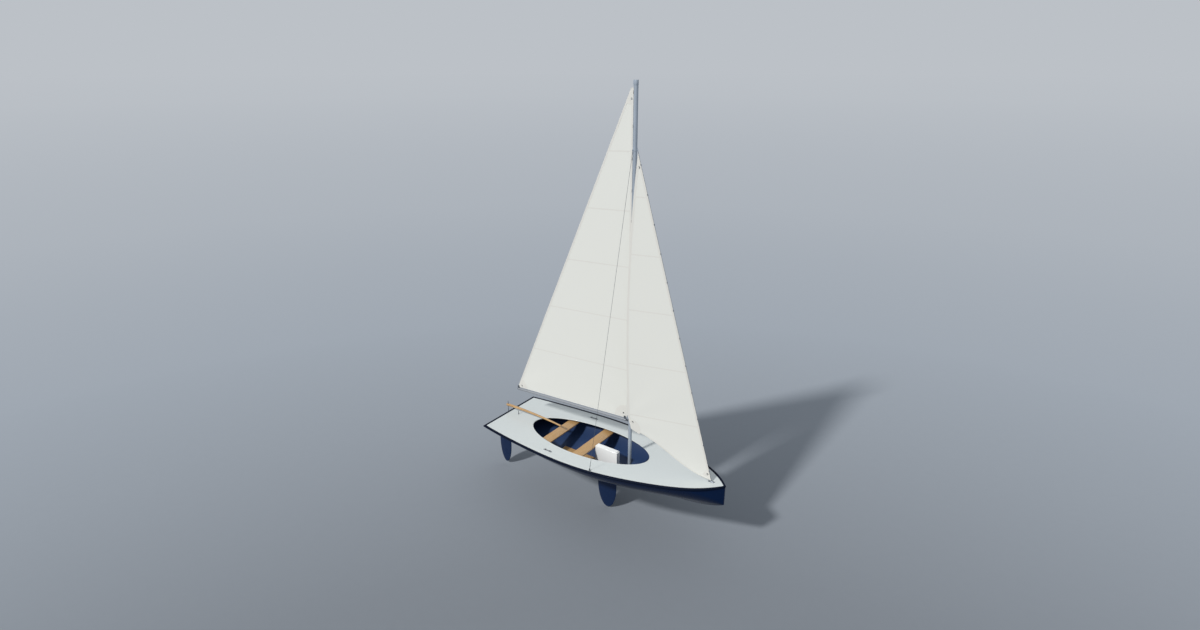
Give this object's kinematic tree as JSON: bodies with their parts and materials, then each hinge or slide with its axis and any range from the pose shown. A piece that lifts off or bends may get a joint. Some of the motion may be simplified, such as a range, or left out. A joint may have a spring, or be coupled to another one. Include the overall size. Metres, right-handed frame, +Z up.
{
  "type": "sailing dinghy",
  "caption": "Open two-sail dinghy with oval cockpit, thwarts, daggerboard, swinging boom, transom-hung rudder and a long wooden tiller.",
  "frame": {"origin": "on the waterline, on the centreline, midway between the transom and the stem", "axes": "+X towards the bow, +Y to port, +Z up"},
  "size_m": [5.141, 1.8618, 7.749],
  "materials": {
    "hull_gelcoat": "glossy navy gelcoat",
    "deck_gelcoat": "satin off-white deck",
    "rail_rubber": "glossy navy rub rail",
    "case_white": "smooth white moulding",
    "varnished_wood": "varnished mahogany or cedar",
    "foil_paint": "navy painted foil",
    "spar_aluminium": "anodised",
    "stainless": "polished stainless",
    "stay_wire": "wire rope",
    "black_plastic": "moulded",
    "sailcloth": "crisp woven sailcloth"
  },
  "bodies": {
    "hull": {"aft_thwart": "varnished_wood", "chainplate_port": "stainless", "chainplate_starboard": "stainless", "daggerboard_case": "case_white", "deck": "deck_gelcoat", "fairlead_port": "spar_aluminium", "fairlead_starboard": "spar_aluminium", "forestay": "stay_wire", "gooseneck_bracket": "stainless", "gudgeon_lower": "stainless", "gudgeon_upper": "stainless", "hounds_band": "stainless", "hull_shell": "hull_gelcoat", "jib": "sailcloth", "keelson": "varnished_wood", "main_thwart": "varnished_wood", "mast": "spar_aluminium", "mast_step": "varnished_wood", "masthead_cap": "spar_aluminium", "rub_rail": "rail_rubber", "sheet_post": "stainless", "shroud_port": "stay_wire", "shroud_starboard": "stay_wire", "stem_fitting": "stainless", "transom": "hull_gelcoat"},
    "boom": {"boom": "spar_aluminium", "gooseneck_toggle": "stainless", "boom_end_cap": "black_plastic", "mainsail": "sailcloth", "clew_outhaul": "stainless", "tack_clip": "stainless"},
    "rudder": {"rudder_blade": "foil_paint", "rudder_cheek_port": "varnished_wood", "rudder_cheek_starboard": "varnished_wood", "pintle_lower": "stainless", "pintle_upper": "stainless", "rudder_post": "stainless", "tiller": "varnished_wood"},
    "daggerboard": {"daggerboard": "foil_paint", "daggerboard_head": "case_white"}
  },
  "joints": [
    {"name": "boom_swing", "type": "hinge", "parent": "hull", "child": "boom", "pos_m": [0.457, 0, 1.022], "axis": [0, 0, 1], "range_deg": [-65, 65]},
    {"name": "rudder_steer", "type": "hinge", "parent": "hull", "child": "rudder", "pos_m": [-2.44, 0, 0.06], "axis": [0, 0, 1], "range_deg": [-40, 40]},
    {"name": "daggerboard_lift", "type": "slide", "parent": "hull", "child": "daggerboard", "axis": [0, 0, 1], "range_m": [0, 0.65]}
  ]
}
